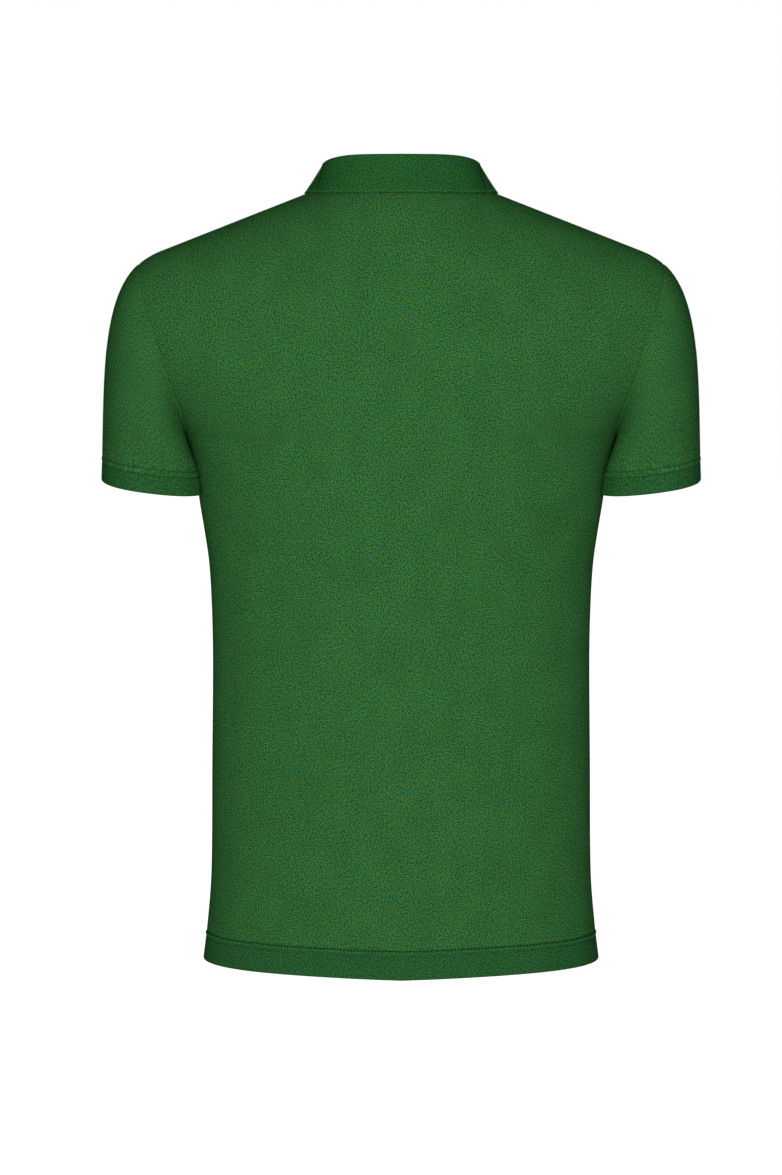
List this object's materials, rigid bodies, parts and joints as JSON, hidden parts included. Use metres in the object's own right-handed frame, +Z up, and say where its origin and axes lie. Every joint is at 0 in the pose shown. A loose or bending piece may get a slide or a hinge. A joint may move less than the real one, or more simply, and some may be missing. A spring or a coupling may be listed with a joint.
{
  "type": "polo shirt",
  "caption": "Short-sleeved knitted polo shirt with a folded collar and buttoned placket, filled out as worn, open at neck, cuffs and hem.",
  "frame": {"origin": "midway between the neck ends of the two shoulder seams, where the wearer's shoulders hold the shirt", "axes": "+Z up from hem to collar, +Y out of the back, -Y out of the front with the placket, X across the shoulders with +X on the wearer's left"},
  "size_m": [0.5692, 0.2281, 0.7601],
  "materials": {
    "pique": "matte knitted cotton pique, mottled dark green",
    "rib": "matte flat-knit rib, darker green",
    "button": "satin dyed button",
    "thread": "spun polyester sewing thread"
  },
  "bodies": {
    "root": {"back": "pique", "front": "pique", "sleeve_left": "pique", "sleeve_right": "pique", "collar": "rib", "placket_over": "pique", "placket_under": "pique", "button_1": "button", "button_2": "button", "button_3": "button"}
  },
  "joints": []
}
